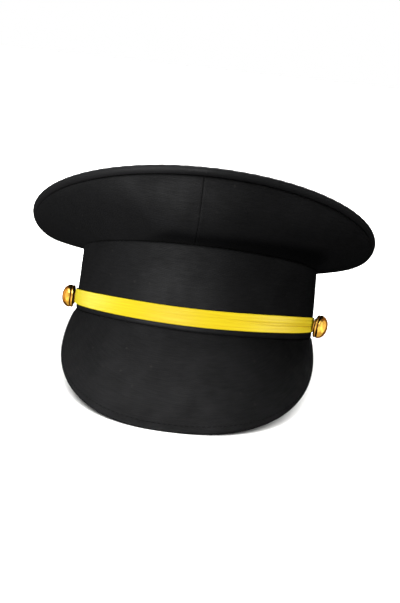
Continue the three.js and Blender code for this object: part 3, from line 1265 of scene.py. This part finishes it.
@dataclass
class CrownTop:
    """The top of the crown: an oval of bias-cut wool hung inside the roll over the rim wire.

    Attributes:
        room: What the piece is made with.
        cloth: Thickness of the cloth.
        roll: Diameter of the covered wire.
        height: Height of the panel's upper side above the seam, at the roll.
        sag: How far the middle hangs below that.
        roll_start: Where the roll leaves the panel above, in degrees from outwards.
        roll_end: Where it meets the panel below.
        pucker: Depth of the puckers inside the roll.
        pucker_count: Number of puckers round the rim.
        slack: Height of the two slow waves of the hanging cloth.
        flat: Width and length that the cloth is cut to, in metres; not used.
        area: Area that it is cut to, in square metres; not used.
    """

    room: Workroom
    cloth: float = 2.0
    roll: float = 5.0
    height: float = 4.0
    sag: float = 4.0
    roll_start: float = 150.0
    roll_end: float = -168.0
    pucker: float = 0.12
    pucker_count: int = 96
    slack: float = 0.5
    flat: tuple[float, float] = (0.252, 0.288)
    area: float = 0.06

    def outline(self) -> np.ndarray:
        """Draws the section, from the panel over the roll to the panel's underside.

        Returns:
            Rows of share, outward and rise.
        """
        radius = self.roll / 2
        shares = np.concatenate([np.linspace(0.0, 0.88, 23), np.linspace(0.9, 0.968, 9)])
        above = np.stack([shares, 0 * shares, self.height - self.sag * (1 - shares ** 2)], axis=1)
        below = above[::-1] - np.array([0.0, 0.0, self.cloth])
        turn = np.radians(np.linspace(self.roll_start, self.roll_end, 34))
        rise = self.room.form.gap + radius + radius * np.sin(turn)
        wire = np.stack([np.ones_like(turn), radius * np.cos(turn), rise], axis=1)
        return np.concatenate([above, wire, below])

    def build(self) -> bpy.types.Object:
        """Makes the top.

        Returns:
            The piece.
        """
        form = self.room.form
        rows = self.outline()
        angles = np.linspace(0.0, 2.0 * math.pi, 384, endpoint=False)
        share, outward, rise = (rows[:, k][:, None] for k in range(3))
        near = bell((share - 0.985) * form.rim.half_width, 4.0) * (rise > form.gap + self.cloth)
        puckers = self.pucker * near * np.sin(self.pucker_count * angles)[None]
        slack = self.slack * np.sin(2 * angles + 0.8)[None] * share ** 2 * (1 - share ** 2) * 4
        points = form.rim_point(angles[None], outward, rise + puckers + slack, share)
        faces, places = grid_faces(*points.shape[:2], closed=True)
        plan = points[..., :2][places[..., 0], places[..., 1] % len(angles)][:, ::-1]
        # The rub mark paints the roll lighter, partly for wear and partly as a painted highlight.
        marks = {"rub_and_highlight": np.broadcast_to(smooth((share - 0.9) / 0.1), points.shape[:2])}
        corners, wool = points.reshape(-1, 3), self.room.bias_wool
        piece = self.room.make_object("crown_top_cloth", corners, faces[:, ::-1], wool, plan, marks)
        finish_piece(piece, "crown_top", "black_wool")
        return piece


@dataclass
class Peak:
    """The peak: a curved board covered in wool, sewn in under the band.

    Attributes:
        room: What the piece is made with.
        depth: Depth from the free edge to the tucked one.
        length: Length along the free edge.
        fold: Radius of its covered edges.
        tuck: How far the cover runs on under the band.
        ripple: Height of the slight unevenness of the cover.
        stitch_inset: How far in from the free edge the stitches run.
        stitch_ends: Share of the way along that is left bare at both ends.
        stitch_sink: How far the thread lies in the cover.
        groove: How deep the stitches draw the cover in.
        groove_width: Half width of that groove.
    """

    room: Workroom
    depth: float = 60.0
    length: float = 330.0
    fold: float = 1.3
    tuck: float = 3.2
    ripple: float = 0.18
    stitch_inset: float = 3.4
    stitch_ends: float = 0.035
    stitch_sink: float = 0.05
    groove: float = 0.16
    groove_width: float = 0.8

    def build(self) -> bpy.types.Object:
        """Makes the peak.

        Returns:
            The piece.
        """
        form = self.room.peak
        shares = folded_shares(self.depth, self.fold, 6, 44)
        round_shares = folded_shares(self.length, self.fold, 5, 200)
        under = np.maximum(shares * self.depth - (self.depth - self.tuck), 0.0)
        face = form.face(np.minimum(shares / (1.0 - self.tuck / self.depth), 1.0), round_shares, under)
        inner = np.sin(math.pi * shares)[:, None] * np.sin(math.pi * round_shares)[None]
        along = round_shares[None] * self.length
        waves = self.ripple * inner * (np.sin(along / 9.0 + 3 * shares[:, None]) + np.sin(along / 15.0 + 1.0))
        from_stitches = shares[:, None] * self.depth - self.stitch_inset
        groove = self.groove * bell(from_stitches, self.groove_width) * np.ones_like(along)
        fold = fold_profile(shares, self.depth, self.fold)[:, None]
        fold = fold * fold_profile(round_shares, self.length, self.fold)[None]
        wall = ClothWall(face, form.board, fold, waves - groove)
        piece = wall.build(self.room, "peak_cover", self.room.wool)
        finish_piece(piece, "peak", "black_wool")
        return piece

    def stitch_path(self) -> np.ndarray:
        """Draws the line of the stitches near the free edge.

        Returns:
            Points in the cap's frame.
        """
        share = self.stitch_inset / self.depth
        along = np.linspace(self.stitch_ends, 1 - self.stitch_ends, 400)
        grid = self.room.peak.face(np.array([share, share + 0.02]), along)
        normal = np.cross(np.gradient(grid[0], axis=0), grid[1] - grid[0])
        normal /= np.linalg.norm(normal, axis=-1, keepdims=True)
        return grid[0] - normal * self.stitch_sink


@dataclass(frozen=True)
class StrapSection:
    """Heights of the chin strap's edges at one angle round the band.

    Attributes:
        degrees: Angle from the front.
        lower: Height of the lower edge.
        upper: Height of the upper edge.
    """

    degrees: float
    lower: float
    upper: float


@dataclass
class ChinStrap:
    """The gold ribbon across the front of the band, pleated lengthwise at the wearer's left.

    Attributes:
        room: What the piece is made with.
        length: Length of the ribbon.
        width: Width of the ribbon.
        ribbon: Thickness of the ribbon.
        clearance: How much thinner it is made, so that its pleats stay clear of the band.
        bulge: How far its edges lie lower than the middle of its width.
        fold: Radius of its edges.
        pleat_depth: Depth of the pleats where they are deepest.
        pleat_lines: Where the pleats lie, as shares of the width.
        pleat_width: Half width of a pleat, as a share of the width.
        pleat_least: Share of their depth that they have at the wearer's right.
        pleat_start: Share of the length from which they deepen.
        pleat_growth: Share of the length over which they do.
        sections: Heights of the edges round the band.
    """

    room: Workroom
    length: float = 278.0
    width: float = 10.6
    ribbon: float = 1.2
    clearance: float = 0.2
    bulge: float = 0.12
    fold: float = 0.6
    pleat_depth: float = 0.42
    pleat_lines: tuple[float, ...] = (0.2, 0.4, 0.58, 0.79)
    pleat_width: float = 0.045
    pleat_least: float = 0.12
    pleat_start: float = 0.45
    pleat_growth: float = 0.4
    sections: tuple[StrapSection, ...] = (
        StrapSection(-90.0, 7.0, 16.3),
        StrapSection(-46.0, 5.1, 15.8),
        StrapSection(0.0, 3.2, 14.2),
        StrapSection(46.0, 4.1, 15.0),
        StrapSection(79.0, 4.7, 14.3),
    )

    def edge(self, shares: np.ndarray, name: str) -> tuple[np.ndarray, np.ndarray]:
        """Runs a smooth line through the sections.

        Args:
            shares: Shares of the way along the strap.
            name: Which edge, lower or upper.

        Returns:
            Angles in radians, and heights.
        """
        marks = np.array([(s.degrees, getattr(s, name)) for s in self.sections])
        last = len(marks) - 1
        place = shares * last
        index = np.minimum(place.astype(int), last - 1)
        before, start, end, after = (marks[np.clip(index + k, 0, last)] for k in (-1, 0, 1, 2))
        slopes = (end - before) / 2, (after - start) / 2
        point = bend((start, end), slopes, (place - index)[:, None])
        return np.radians(point[:, 0]), point[:, 1]

    def pleats(self, along: np.ndarray, across: np.ndarray) -> np.ndarray:
        """Works out how deep the pleats are over the strap.

        Args:
            along: Shares of the length.
            across: Shares of the width.

        Returns:
            The depth at each point, from 0 to 1.
        """
        grown = lerp(self.pleat_least, 1.0, smooth((along - self.pleat_start) / self.pleat_growth))
        depth = np.zeros(np.broadcast_shapes(along.shape, across.shape))
        for number, line in enumerate(self.pleat_lines):
            drift = 0.03 * np.sin(9.0 * along + 1.7 * number) + 0.015 * np.sin(23.0 * along + 0.9 * number)
            strength = 0.65 + 0.35 * np.sin(6.0 * along + 2.3 * number)
            depth = np.maximum(depth, strength * bell(across - line - drift, self.pleat_width))
        return depth * grown

    def build(self) -> bpy.types.Object:
        """Makes the strap.

        Returns:
            The piece.
        """
        form = self.room.form
        along = folded_shares(self.length, self.fold, 4, 380)
        across = folded_shares(self.width, self.fold, 4, 40)
        lower_angle, lower = self.edge(along, "lower")
        upper_angle, upper = self.edge(along, "upper")
        share = across[:, None]
        angle = lerp(lower_angle[None], upper_angle[None], share)
        height = lerp(lower[None], upper[None], share)
        pleat = self.pleats(along[None], share)
        crown = self.bulge * np.sin(math.pi * across)[:, None]
        face = form.band_point(angle, form.gap + self.ribbon, height)
        fold = fold_profile(across, self.width, self.fold)[:, None]
        fold = fold * fold_profile(along, self.length, self.fold)[None]
        lift = crown - self.pleat_depth * pleat - self.bulge
        wall = ClothWall(face, self.ribbon - self.clearance, fold, lift)
        # The pleat mark paints shade into the ribbon down in its pleats.
        piece = wall.build(self.room, "chin_strap_ribbon", self.room.ribbon, {"pleat": 0.75 * pleat})
        finish_piece(piece, "chin_strap", "gold_ribbon")
        return piece


class Side(Enum):
    """A side of the cap, as the wearer has it, by the node of its button."""

    LEFT = "side_button_left"
    RIGHT = "side_button_right"


@dataclass
class SideButton:
    """A gilt side button: a domed shell crimped over a flat back, standing on the strap's end.

    Attributes:
        room: What the piece is made with.
        side: Which side it is on.
        degrees: Its angle from the front.
        height: Its height above the band's lower edge.
        lean: How far its axis leans up, in degrees.
        back_radius: Radius of the flat middle of the back.
        shank_radius: Radius of the foot between the back and the strap.
        shank_depth: How far the foot reaches below the lowest point of the back.
        strap: Thickness of the ribbon under it.
        groove: Rise of the groove between the back and the dome.
        groove_width: Half width of that groove.
        rim_radius: Radius up to which the groove is tarnished.
        back_tarnish: Tarnish on the back, as a share of that in the groove.
        back_rise: Rise at which that ends.
        profile: Radius and rise of the shell's outline, from the back to the top of the dome.
    """

    room: Workroom
    side: Side
    degrees: float
    height: float
    lean: float
    back_radius: float = 3.6
    shank_radius: float = 5.0
    shank_depth: float = 0.2
    strap: float = 1.2
    groove: float = 2.35
    groove_width: float = 0.42
    rim_radius: float = 8.05
    back_tarnish: float = 0.6
    back_rise: float = 0.9
    profile: tuple[tuple[float, float], ...] = (
        (3.6, 0.0), (6.2, 0.3), (7.25, 0.6), (7.72, 0.9), (7.86, 1.3), (7.82, 1.65), (7.74, 1.95),
        (7.67, 2.15), (7.64, 2.35), (7.69, 2.55), (7.83, 2.75), (7.98, 2.98), (8.08, 3.35), (7.95, 4.2),
        (7.3, 5.8), (6.1, 7.2), (4.4, 8.25), (2.3, 8.85), (0.0, 9.0),
    )

    def lift(self) -> float:
        """Returns how far the back stands off, so that it clears the strap when it leans."""
        return self.back_radius * abs(math.sin(math.radians(self.lean)))

    def frame(self) -> Matrix:
        """Works out how the button stands, with its axis along its own +Z.

        Returns:
            Its turn and place in the cap's frame.
        """
        form = self.room.form
        angle = math.radians(self.degrees)
        foot = Vector(form.band_point(angle, 2 * form.gap + self.strap, self.height))
        axis = Vector(form.band_point(angle, 1.0, self.height) - form.band_point(angle, 0.0, self.height))
        axis.z = math.tan(math.radians(self.lean))
        axis.normalize()
        turn = axis.to_track_quat("Z", "Y").to_matrix().to_4x4()
        return Matrix.Translation(foot + axis * self.lift()) @ turn

    def outline(self) -> np.ndarray:
        """Draws the section from the foot out over the back, the groove and the dome.

        Returns:
            Rows of radius and rise.
        """
        marks = np.array(self.profile)
        before = np.concatenate([marks[:1], marks[:-2]])
        after = np.concatenate([marks[2:], marks[-2:-1] * np.array([-1.0, 1.0])])
        ends = marks[:-1], marks[1:]
        slopes = (marks[1:] - before) / 2, (after - marks[:-1]) / 2
        fine = np.stack([bend(ends, slopes, share) for share in (0.0, 1 / 3, 2 / 3)], axis=1).reshape(-1, 2)
        sunk = -self.lift() - self.shank_depth
        foot = np.array([(0.0, sunk), (self.shank_radius, sunk), (self.shank_radius, 0.0)])
        return np.concatenate([foot, fine, marks[-1:]])

    def build(self) -> bpy.types.Object:
        """Makes the button.

        Returns:
            The piece.
        """
        rows = self.outline()
        segments = 72
        turn = np.linspace(0.0, 2.0 * math.pi, segments, endpoint=False)[None]
        radius, rise = rows[:, 0][:, None], rows[:, 1][:, None]
        local = np.stack([radius * np.cos(turn), radius * np.sin(turn), rise + 0 * turn], axis=-1)
        matrix = np.array(self.frame())
        points = local.reshape(-1, 3) @ matrix[:3, :3].T + matrix[:3, 3]
        faces, _ = grid_faces(len(rows), segments, closed=True)
        crimp = bell(rise - self.groove, self.groove_width) * smooth((self.rim_radius - radius) / 0.4)
        crimp = crimp + self.back_tarnish * smooth(1.0 - rise / self.back_rise)
        marks = {"tarnish": np.broadcast_to(np.clip(crimp, 0.0, 1.0), (len(rows), segments))}
        piece = self.room.make_object(f"{self.side.value}_shell", points, faces, self.room.gilt, None, marks)
        finish_piece(piece, self.side.value, "gilt_metal")
        return piece


@dataclass
class StitchRun:
    """A run of stitches along a line, laid by a node tree.

    Attributes:
        room: What the piece is made with.
        name: Name of the piece.
        path: The line, in the cap's frame.
        pitch: Distance from one stitch to the next.
        length: Length of the thread that shows in one stitch.
        thread: Diameter of the thread.
        unevenness: How much the stitches differ in length, as a share.
        seed: Seed of those differences.
    """

    room: Workroom
    name: str
    path: np.ndarray
    pitch: float = 3.2
    length: float = 2.5
    thread: float = 0.45
    unevenness: float = 0.08
    seed: int = 3

    def tree(self) -> bpy.types.NodeTree:
        """Builds the tree that sets one stitch at each step along a line of edges.

        Returns:
            The tree, whose inputs are the sizes of the stitches.
        """
        tree = bpy.data.node_groups.new(f"{self.name}_tree", "GeometryNodeTree")
        sockets = tree.interface
        sockets.new_socket("Geometry", in_out="INPUT", socket_type="NodeSocketGeometry")
        for name in ("Pitch", "Length", "Thread", "Shortest", "Longest"):
            sockets.new_socket(name, in_out="INPUT", socket_type="NodeSocketFloat")
        sockets.new_socket("Seed", in_out="INPUT", socket_type="NodeSocketInt")
        sockets.new_socket("Material", in_out="INPUT", socket_type="NodeSocketMaterial")
        sockets.new_socket("Geometry", in_out="OUTPUT", socket_type="NodeSocketGeometry")
        given = add_node(tree, "NodeGroupInput").outputs
        line = add_node(tree, "GeometryNodeMeshToCurve", {"Mesh": given["Geometry"]})
        steps = add_node(tree, "GeometryNodeResampleCurve", {
            "Curve": line.outputs[0], "Length": given["Pitch"],
        }, mode="LENGTH")
        bead = add_node(tree, "GeometryNodeMeshUVSphere", {"Segments": 8, "Rings": 6, "Radius": 0.5})
        size = add_node(tree, "ShaderNodeCombineXYZ", {
            "X": given["Length"], "Y": given["Thread"], "Z": given["Thread"],
        })
        stitch = add_node(tree, "GeometryNodeTransform", {
            "Geometry": bead.outputs["Mesh"], "Scale": size.outputs[0],
        })
        tangent = add_node(tree, "GeometryNodeInputTangent")
        aim = add_node(tree, "FunctionNodeAlignRotationToVector", {"Vector": tangent.outputs[0]}, axis="X")
        length = add_node(tree, "FunctionNodeRandomValue", {
            2: given["Shortest"], 3: given["Longest"], "Seed": given["Seed"],
        }, data_type="FLOAT")
        uneven = add_node(tree, "ShaderNodeCombineXYZ", {"X": length.outputs[1], "Y": 1.0, "Z": 1.0})
        laid = add_node(tree, "GeometryNodeInstanceOnPoints", {
            "Points": steps.outputs[0], "Instance": stitch.outputs[0],
            "Rotation": aim.outputs[0], "Scale": uneven.outputs[0],
        })
        real = add_node(tree, "GeometryNodeRealizeInstances", {"Geometry": laid.outputs[0]})
        dressed = add_node(tree, "GeometryNodeSetMaterial", {
            "Geometry": real.outputs[0], "Material": given["Material"],
        })
        add_node(tree, "NodeGroupOutput", {"Geometry": dressed.outputs[0]})
        return tree

    def build(self) -> bpy.types.Object:
        """Lays the stitches.

        Returns:
            All of them as one piece.
        """
        line = bpy.data.meshes.new(self.name)
        points = self.room.stance.place(self.path)
        line.from_pydata(points.tolist(), [(k, k + 1) for k in range(len(points) - 1)], [])
        host = add_object(f"{self.name}_line", line)
        modifier = host.modifiers.new("stitches", "NODES")
        tree = self.tree()
        modifier.node_group = tree
        values = {
            "Pitch": self.pitch * MM,
            "Length": self.length * MM,
            "Thread": self.thread * MM,
            "Shortest": 1.0 - self.unevenness,
            "Longest": 1.0 + self.unevenness,
            "Seed": self.seed,
            "Material": self.room.thread,
        }
        for item in tree.interface.items_tree:
            if item.in_out == "INPUT" and item.name in values:
                modifier[item.identifier] = values[item.name]
        evaluated = host.evaluated_get(bpy.context.evaluated_depsgraph_get())
        mesh = bpy.data.meshes.new_from_object(evaluated)
        mesh.name = self.name
        mesh.shade_smooth()
        bpy.data.objects.remove(host)
        piece = add_object(self.name, mesh)
        finish_piece(piece, None, "black_wool")
        return piece


class Reach(Enum):
    """What a light falls on."""

    ALL = "all"
    FLOOR = "floor"
    WOOL = "wool"
    RIBBON = "ribbon"
    METAL = "metal"


@dataclass(frozen=True)
class SunLamp:
    """A wide soft light from far away.

    Attributes:
        name: Name of the light.
        towards: Direction from the cap to the light.
        strength: Light on a surface that faces it, in watts for each square metre.
        spread: Apparent width of the light, in degrees.
        colour: Colour of the light.
        reach: What it lights: everything, or one kind of piece alone.
    """

    name: str
    towards: tuple[float, float, float]
    strength: float
    spread: float
    colour: str = "#ffffff"
    reach: Reach = Reach.ALL


@dataclass(frozen=True)
class PoolLamp:
    """A spotlight that lays a round pool of light with a soft edge.

    Attributes:
        name: Name of the light.
        towards: Direction from the pool to the light.
        middle: Middle of the pool, in millimetres from the middle of the floor under the cap.
        radius: Radius of the pool, in millimetres.
        softness: Share of that radius over which the light fades.
        distance: Distance from the pool to the light, in metres.
        power: Power, in watts.
        width: Radius of the lamp itself, in metres.
    """

    name: str
    towards: tuple[float, float, float]
    middle: tuple[float, float, float]
    radius: float
    softness: float
    distance: float
    power: float
    width: float = 0.03

    def hang(self) -> bpy.types.Object:
        """Hangs the light.

        Returns:
            The light.
        """
        data = bpy.data.lights.new(self.name, "SPOT")
        data.energy = self.power
        data.spot_size = 2.0 * math.atan(self.radius * MM / self.distance)
        data.spot_blend = self.softness
        data.shadow_soft_size = self.width
        light = add_object(self.name, data)
        back = Vector(self.towards).normalized()
        turn = back.to_track_quat("Z", "Y").to_matrix().to_4x4()
        light.matrix_world = Matrix.Translation(Vector(self.middle) * MM + back * self.distance) @ turn
        return light


@dataclass
class Studio:
    """A pale floor, soft lights and the camera.

    Attributes:
        floor_width: Width of the square floor, in metres.
        floor_colour: Colour of the floor.
        distance: Distance from the camera to its target, in millimetres.
        target: What the camera aims at, in the cap's frame.
        swing: How far the camera stands to the wearer's left, in degrees.
        pitch: How far it looks down on the band's own plane, in degrees.
        roll: How far it is rolled, in degrees.
        lens: Focal length, in millimetres.
        lamps: The lights.
        pools: The lights over the wearer's right half of the cloth and the middle of the peak.
    """

    floor_width: float = 60.0
    floor_colour: str = "#f4f4f2"
    distance: float = 680.0
    target: tuple[float, float, float] = (2.9, 0.0, 15.99)
    swing: float = 0.92
    pitch: float = 1.587
    roll: float = 6.396
    lens: float = 56.38
    lamps: tuple[SunLamp, ...] = (
        SunLamp("key", (-0.25, -0.95, -0.04), 0.9, 30.0, reach=Reach.WOOL),
        SunLamp("key_left", (-0.6, -0.75, -0.02), 0.58, 30.0, reach=Reach.WOOL),
        SunLamp("top", (-0.15, 0.0, 0.98), 1.9, 60.0),
        SunLamp("back", (0.02, 0.81, 0.59), 4.3, 52.0),
        SunLamp("fill_right", (0.9, -0.3, -0.12), 0.38, 60.0),
        SunLamp("fill_left", (-0.95, 0.15, 0.25), 0.15, 60.0),
        SunLamp("ribbon_front", (-0.25, -0.95, 0.12), 2.6, 30.0, reach=Reach.RIBBON),
        SunLamp("ribbon_front_left", (-0.6, -0.75, 0.12), 1.1, 30.0, reach=Reach.RIBBON),
        SunLamp("ribbon_right", (1.0, 0.0, 0.1), 2.3, 40.0, reach=Reach.RIBBON),
        SunLamp("ribbon_left", (-0.93, 0.37, 0.1), 2.1, 40.0, "#ecffd8", Reach.RIBBON),
        SunLamp("metal_front", (-0.2, -0.9, 0.3), 2.4, 130.0, reach=Reach.METAL),
        SunLamp("metal_low", (0.15, -0.65, -0.7), 2.2, 120.0, "#fff0d0", Reach.METAL),
        SunLamp("metal_glint", (-0.25, -0.41, 0.87), 2.8, 40.0, reach=Reach.METAL),
        SunLamp("metal_side", (0.9, -0.3, 0.1), 1.6, 90.0, "#fff4d8", Reach.METAL),
        SunLamp("metal_far", (-0.9, -0.2, 0.0), 1.2, 90.0, "#ffd09a", Reach.METAL),
        SunLamp("metal_dusk", (0.0, 0.9, 0.3), 1.8, 160.0, "#b48660", Reach.METAL),
        SunLamp("floor_wash", (0.06, 0.2, 0.97), 6.7, 140.0, reach=Reach.FLOOR),
    )
    pools: tuple[PoolLamp, ...] = (
        PoolLamp("key_pool", (-0.25, -0.95, -0.04), (-156.0, -100.0, 80.0), 165.0, 0.22, 1.5, 58.0),
        PoolLamp("peak_pool", (-0.15, -0.95, 0.25), (-9.0, -135.0, 22.0), 64.0, 1.0, 1.5, 48.0),
    )

    def set_camera(self, stance: Stance) -> None:
        """Stands the camera where the picture is taken from.

        Args:
            stance: How the cap stands.
        """
        swing, pitch, roll = (math.radians(a) for a in (self.swing, self.pitch, self.roll))
        level = math.cos(pitch)
        back = Vector((math.sin(swing) * level, -math.cos(swing) * level, math.sin(pitch)))
        right = Vector((math.cos(swing), math.sin(swing), 0.0))
        up = back.cross(right)
        rolled_right = right * math.cos(roll) + up * math.sin(roll)
        rolled_up = up * math.cos(roll) - right * math.sin(roll)
        frame = stance.matrix()
        place = frame @ (Vector(self.target) + back * self.distance)
        turn = frame.to_3x3().normalized() @ Matrix((rolled_right, rolled_up, back)).transposed()
        data = bpy.data.cameras.new("camera")
        data.lens = self.lens
        data.sensor_width = 36.0
        data.clip_start = 0.01
        data.clip_end = 200.0
        camera = add_object("camera", data)
        camera.matrix_world = Matrix.Translation(place) @ turn.to_4x4()
        bpy.context.scene.camera = camera

    def lay_floor(self) -> bpy.types.Object:
        """Lays the pale floor.

        Returns:
            The floor.
        """
        half = self.floor_width / 2
        mesh = bpy.data.meshes.new("floor")
        corners = [(-half, -half, 0), (half, -half, 0), (half, half, 0), (-half, half, 0)]
        mesh.from_pydata(corners, [], [(0, 1, 2, 3)])
        material, _, shader = new_material("matt_white_paper")
        shader.inputs["Base Color"].default_value = linear(self.floor_colour)
        shader.inputs["Roughness"].default_value = 1.0
        shader.inputs["Specular IOR Level"].default_value = 0.0
        mesh.materials.append(material)
        floor = add_object("floor", mesh)
        floor.visible_diffuse = False
        floor.visible_glossy = False
        floor.visible_shadow = False
        return floor

    def hang_lamps(self, receivers: dict[Reach, list[bpy.types.Object]]) -> None:
        """Hangs the lights, each over all or over its own pieces.

        Args:
            receivers: The pieces that each kind of light falls on.
        """
        lit = {}
        for reach, pieces in receivers.items():
            lit[reach] = bpy.data.collections.new(f"lit_{reach.value}")
            for piece in pieces:
                lit[reach].objects.link(piece)
        for lamp in self.lamps:
            data = bpy.data.lights.new(lamp.name, "SUN")
            data.energy = lamp.strength
            data.angle = math.radians(lamp.spread)
            data.color = linear(lamp.colour)[:3]
            light = add_object(lamp.name, data)
            light.rotation_euler = Vector(lamp.towards).to_track_quat("Z", "Y").to_euler()
            if lamp.reach in lit:
                light.light_linking.receiver_collection = lit[lamp.reach]
        for pool in self.pools:
            pool.hang().light_linking.receiver_collection = lit[Reach.WOOL]

    def set_surroundings(self) -> None:
        """Makes the surroundings white to look at, without lighting the cap."""
        scene = bpy.context.scene
        world = bpy.data.worlds.new("white_room")
        world.use_nodes = True
        world.node_tree.nodes["Background"].inputs["Color"].default_value = (1.0, 1.0, 1.0, 1.0)
        scene.world = world
        world.cycles_visibility.diffuse = False
        world.cycles_visibility.glossy = False
        scene.cycles.caustics_reflective = False
        scene.view_settings.view_transform = "Standard"


def main() -> None:
    """Builds the studio and every piece of the cap in order."""
    logging.basicConfig(level=logging.INFO, format="%(message)s")
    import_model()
    form = CapForm()
    peak_form = PeakForm(form)
    stance = Stance.of(form, peak_form)
    log.info("cap leans back %.3f degrees", math.degrees(stance.tilt))
    studio = Studio()
    studio.set_camera(stance)
    floor = studio.lay_floor()
    studio.set_surroundings()
    cloth = MilledWool()
    room = Workroom(
        form,
        peak_form,
        stance,
        cloth.material(Grain.STRAIGHT),
        cloth.material(Grain.BIAS),
        GoldRibbon().material(),
        GiltBrass().material(),
        SewingThread().material(),
    )
    wool = [Band(room).build(), CrownTop(room).build()]
    cuts = [
        QuarterCut("crown_quarter_front_left", FRONT_SEAM, 90.0),
        QuarterCut("crown_quarter_rear_left", 90.0, 180.0),
        QuarterCut("crown_quarter_rear_right", -180.0, -90.0),
        QuarterCut("crown_quarter_front_right", -90.0, FRONT_SEAM),
    ]
    wool += [CrownQuarter(room, cut).build() for cut in cuts]
    peak = Peak(room)
    wool += [peak.build(), StitchRun(room, "peak_edge_stitches", peak.stitch_path()).build()]
    strap = ChinStrap(room).build()
    buttons = [
        SideButton(room, Side.LEFT, 75.0, 9.2, -8.0).build(),
        SideButton(room, Side.RIGHT, -85.0, 10.0, 2.0).build(),
    ]
    for bright in [strap, *buttons]:
        bright.visible_diffuse = False
        bright.visible_glossy = False
    studio.hang_lamps({
        Reach.FLOOR: [floor],
        Reach.WOOL: wool,
        Reach.RIBBON: [strap],
        Reach.METAL: buttons,
    })


if __name__ == "__main__":
    main()
